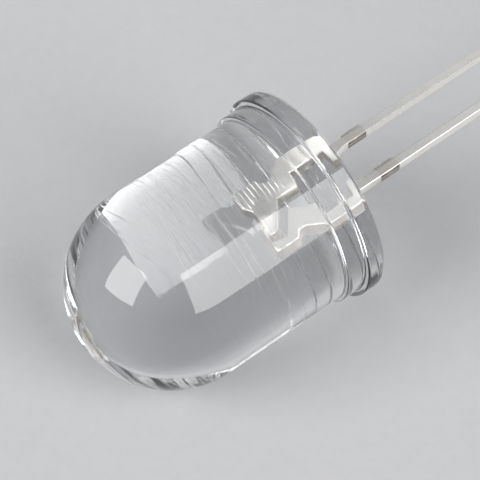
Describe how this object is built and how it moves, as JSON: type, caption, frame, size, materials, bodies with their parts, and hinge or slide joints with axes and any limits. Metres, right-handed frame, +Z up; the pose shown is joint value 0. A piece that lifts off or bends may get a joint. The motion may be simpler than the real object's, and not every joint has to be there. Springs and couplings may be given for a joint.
{
  "type": "through hole led",
  "caption": "Clear round-headed indicator lamp with a rimmed base, a cast-in lead frame with reflector cup, and two straight wire leads.",
  "frame": {"origin": "on the ground, below the middle of the lying lamp's bounding box", "axes": "+X along the lamp from dome to leads, +Y to the side of the rim's flat, +Z up"},
  "size_m": [0.0404, 0.0106, 0.011],
  "materials": {
    "clear_epoxy": "water-clear cast epoxy, polished dome, fine ring marks round the barrel",
    "tinned_frame": "stamped and tinned steel, satin, bare metal at the sheared stubs",
    "chip": "semiconductor die with a metal pad on top",
    "silver_adhesive": "silver-filled adhesive, matt",
    "gold_wire": "fine drawn wire"
  },
  "bodies": {
    "root": {"epoxy_lens": "clear_epoxy", "anvil_lead": "tinned_frame", "post_lead": "tinned_frame", "led_chip": "chip", "die_attach": "silver_adhesive", "bond_wire": "gold_wire"}
  },
  "joints": []
}
